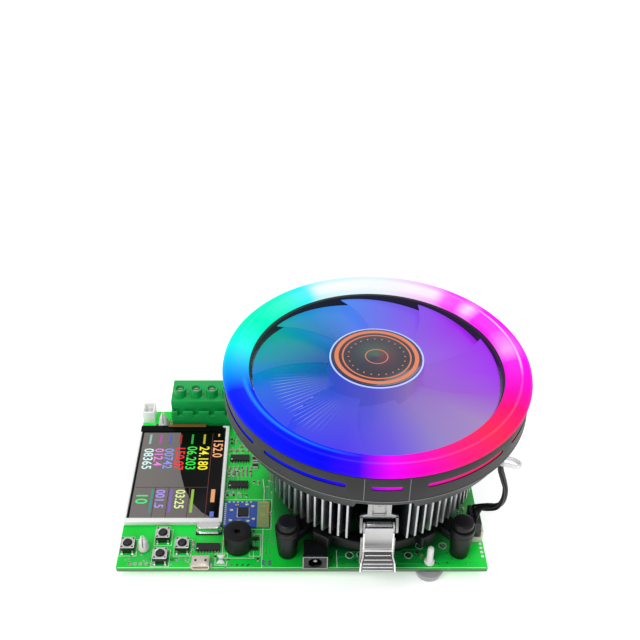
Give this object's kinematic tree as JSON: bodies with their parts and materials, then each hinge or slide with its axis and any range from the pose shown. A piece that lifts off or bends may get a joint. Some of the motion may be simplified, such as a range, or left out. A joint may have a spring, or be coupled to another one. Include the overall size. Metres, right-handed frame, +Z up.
{
  "type": "dc electronic load",
  "caption": "Bench dc electronic load: a bare circuit board on snap-in feet with a colour display, buttons, pluggable terminal block and a clip-on cooler under a lit fan.",
  "frame": {"origin": "centre of the object's box, on the surface that the feet stand on", "axes": "+X to the right along the board's front edge, +Y to the back, +Z up along the fan's shaft"},
  "size_m": [0.1692, 0.1244, 0.083],
  "materials": {
    "pcb_green": "glass-epoxy board under glossy green solder mask",
    "frame_white": "moulded white frame",
    "panel_glass": "display glass over a lit colour panel",
    "flex_film": "polyimide film with copper tracks",
    "terminal_green": "moulded nylon, satin",
    "screw_steel": "zinc-plated steel",
    "clamp_brass": "nickel-plated brass",
    "socket_white": "moulded nylon, ivory",
    "module_board": "small board under dark blue mask",
    "buzzer_black": "moulded case",
    "tin_shell": "tinned and nickel-plated shells",
    "chip_epoxy": "moulded epoxy with tinned leads",
    "key_black": "moulded key",
    "jack_black": "moulded housing",
    "plug_black": "moulded housing",
    "aluminium": "extruded, bare",
    "bracket_black": "moulded nylon with glass fibre",
    "pin_black": "moulded nylon, satin",
    "clip_steel": "spring steel, nickel-plated",
    "fan_grey": "moulded frame, fine grain",
    "ring_diffuser": "milky diffuser, lit from below, emissive",
    "led_white": "ring board under white mask",
    "copper": "enamelled copper windings on laminated steel",
    "rotor_clear": "frosted translucent blades",
    "hub_label": "glossy foil disc with plain rings",
    "lead_black": "four soft insulated wires",
    "tie_clear": "clear tie loop",
    "nylon": "natural nylon"
  },
  "bodies": {
    "board": {"main_board": "pcb_green", "display_bezel": "frame_white", "display_panel": "panel_glass", "display_flex": "flex_film", "terminal_header": "terminal_green", "sensor_socket": "socket_white", "radio_module": "module_board", "buzzer": "buzzer_black", "micro_usb_socket": "tin_shell", "quartz_crystal": "tin_shell", "serial_chip": "chip_epoxy", "driver_chip": "chip_epoxy", "converter_chip": "chip_epoxy", "dc_jack": "jack_black", "fan_header": "socket_white", "fan_plug": "plug_black", "power_transistor": "chip_epoxy", "heatsink": "aluminium", "cooler_bracket": "bracket_black", "clip_strap": "clip_steel", "fan_frame": "fan_grey", "light_ring": "ring_diffuser", "led_board": "led_white", "motor_stator": "copper", "fan_lead": "lead_black", "lead_tie": "tie_clear", "foot_front_left": "nylon", "foot_back_left": "nylon", "foot_front_right": "nylon", "foot_back_right": "nylon", "button_case_left": "tin_shell", "button_case_up": "tin_shell", "button_case_down": "tin_shell", "button_case_right": "tin_shell"},
    "terminal_block": {"terminal_plug": "terminal_green"},
    "rotor": {"fan_rotor": "rotor_clear", "hub_cap": "hub_label", "rotor_shaft": "clip_steel"},
    "lever": {"clip_lever": "clip_steel"},
    "hook": {"clip_hook": "clip_steel"},
    "key_left": {"button_key_left": "key_black"},
    "key_up": {"button_key_up": "key_black"},
    "key_down": {"button_key_down": "key_black"},
    "key_right": {"button_key_right": "key_black"},
    "shank_front_left": {"pin_shank_front_left": "pin_black"},
    "knob_front_left": {"pin_knob_front_left": "pin_black"},
    "shank_front_right": {"pin_shank_front_right": "pin_black"},
    "knob_front_right": {"pin_knob_front_right": "pin_black"},
    "shank_back_right": {"pin_shank_back_right": "pin_black"},
    "knob_back_right": {"pin_knob_back_right": "pin_black"},
    "shank_back_left": {"pin_shank_back_left": "pin_black"},
    "knob_back_left": {"pin_knob_back_left": "pin_black"},
    "screw_1": {"terminal_screw_1": "screw_steel"},
    "clamp_1": {"terminal_clamp_1": "clamp_brass"},
    "screw_2": {"terminal_screw_2": "screw_steel"},
    "clamp_2": {"terminal_clamp_2": "clamp_brass"},
    "screw_3": {"terminal_screw_3": "screw_steel"},
    "clamp_3": {"terminal_clamp_3": "clamp_brass"},
    "screw_4": {"terminal_screw_4": "screw_steel"},
    "clamp_4": {"terminal_clamp_4": "clamp_brass"}
  },
  "joints": [
    {"name": "fan_spin", "type": "hinge", "parent": "board", "child": "rotor", "pos_m": [0.0224, 0, 0.0721], "axis": [0, 0, 1], "continuous": true},
    {"name": "clip_lever_turn", "type": "hinge", "parent": "board", "child": "lever", "pos_m": [0.0224, -0.0471, 0.0347], "axis": [-1, 0, 0], "range_deg": [0, 110]},
    {"name": "clip_hook_turn", "type": "hinge", "parent": "lever", "child": "hook", "pos_m": [0.0224, -0.04738, 0.03668], "axis": [-1, 0, 0], "range_deg": [-110, 0]},
    {"name": "terminal_plug_pull", "type": "slide", "parent": "board", "child": "terminal_block", "axis": [0, 0, 1], "range_m": [0, 0.009]},
    {"name": "button_left_press", "type": "slide", "parent": "board", "child": "key_left", "axis": [0, 0, -1], "range_m": [0, 0.00025], "stiffness_N_per_m": 800},
    {"name": "button_up_press", "type": "slide", "parent": "board", "child": "key_up", "axis": [0, 0, -1], "range_m": [0, 0.00025], "stiffness_N_per_m": 800},
    {"name": "button_down_press", "type": "slide", "parent": "board", "child": "key_down", "axis": [0, 0, -1], "range_m": [0, 0.00025], "stiffness_N_per_m": 800},
    {"name": "button_right_press", "type": "slide", "parent": "board", "child": "key_right", "axis": [0, 0, -1], "range_m": [0, 0.00025], "stiffness_N_per_m": 800},
    {"name": "pin_front_left_lift", "type": "slide", "parent": "board", "child": "shank_front_left", "axis": [0, 0, 1], "range_m": [0, 0.004]},
    {"name": "pin_front_left_turn", "type": "hinge", "parent": "shank_front_left", "child": "knob_front_left", "pos_m": [-0.0136, -0.036, 0.0245], "axis": [0, 0, 1], "range_deg": [0, 90]},
    {"name": "pin_front_right_lift", "type": "slide", "parent": "board", "child": "shank_front_right", "axis": [0, 0, 1], "range_m": [0, 0.004]},
    {"name": "pin_front_right_turn", "type": "hinge", "parent": "shank_front_right", "child": "knob_front_right", "pos_m": [0.0584, -0.036, 0.0245], "axis": [0, 0, 1], "range_deg": [0, 90]},
    {"name": "pin_back_right_lift", "type": "slide", "parent": "board", "child": "shank_back_right", "axis": [0, 0, 1], "range_m": [0, 0.004]},
    {"name": "pin_back_right_turn", "type": "hinge", "parent": "shank_back_right", "child": "knob_back_right", "pos_m": [0.0584, 0.036, 0.0245], "axis": [0, 0, 1], "range_deg": [0, 90]},
    {"name": "pin_back_left_lift", "type": "slide", "parent": "board", "child": "shank_back_left", "axis": [0, 0, 1], "range_m": [0, 0.004]},
    {"name": "pin_back_left_turn", "type": "hinge", "parent": "shank_back_left", "child": "knob_back_left", "pos_m": [-0.0136, 0.036, 0.0245], "axis": [0, 0, 1], "range_deg": [0, 90]},
    {"name": "terminal_screw_1_turn", "type": "hinge", "parent": "terminal_block", "child": "screw_1", "pos_m": [-0.0656, 0.0477, 0.0231], "axis": [0, 0, 1], "range_deg": [0, 1440]},
    {"name": "terminal_clamp_1_rise", "type": "slide", "parent": "terminal_block", "child": "clamp_1", "axis": [0, 0, 1], "range_m": [0, 0.002]},
    {"name": "terminal_screw_2_turn", "type": "hinge", "parent": "terminal_block", "child": "screw_2", "pos_m": [-0.05798, 0.0477, 0.0231], "axis": [0, 0, 1], "range_deg": [0, 1440]},
    {"name": "terminal_clamp_2_rise", "type": "slide", "parent": "terminal_block", "child": "clamp_2", "axis": [0, 0, 1], "range_m": [0, 0.002]},
    {"name": "terminal_screw_3_turn", "type": "hinge", "parent": "terminal_block", "child": "screw_3", "pos_m": [-0.05036, 0.0477, 0.0231], "axis": [0, 0, 1], "range_deg": [0, 1440]},
    {"name": "terminal_clamp_3_rise", "type": "slide", "parent": "terminal_block", "child": "clamp_3", "axis": [0, 0, 1], "range_m": [0, 0.002]},
    {"name": "terminal_screw_4_turn", "type": "hinge", "parent": "terminal_block", "child": "screw_4", "pos_m": [-0.04274, 0.0477, 0.0231], "axis": [0, 0, 1], "range_deg": [0, 1440]},
    {"name": "terminal_clamp_4_rise", "type": "slide", "parent": "terminal_block", "child": "clamp_4", "axis": [0, 0, 1], "range_m": [0, 0.002]}
  ],
  "couplings": [
    {"joint": "clip_hook_turn", "follows": "clip_lever_turn", "ratio": -1}
  ]
}
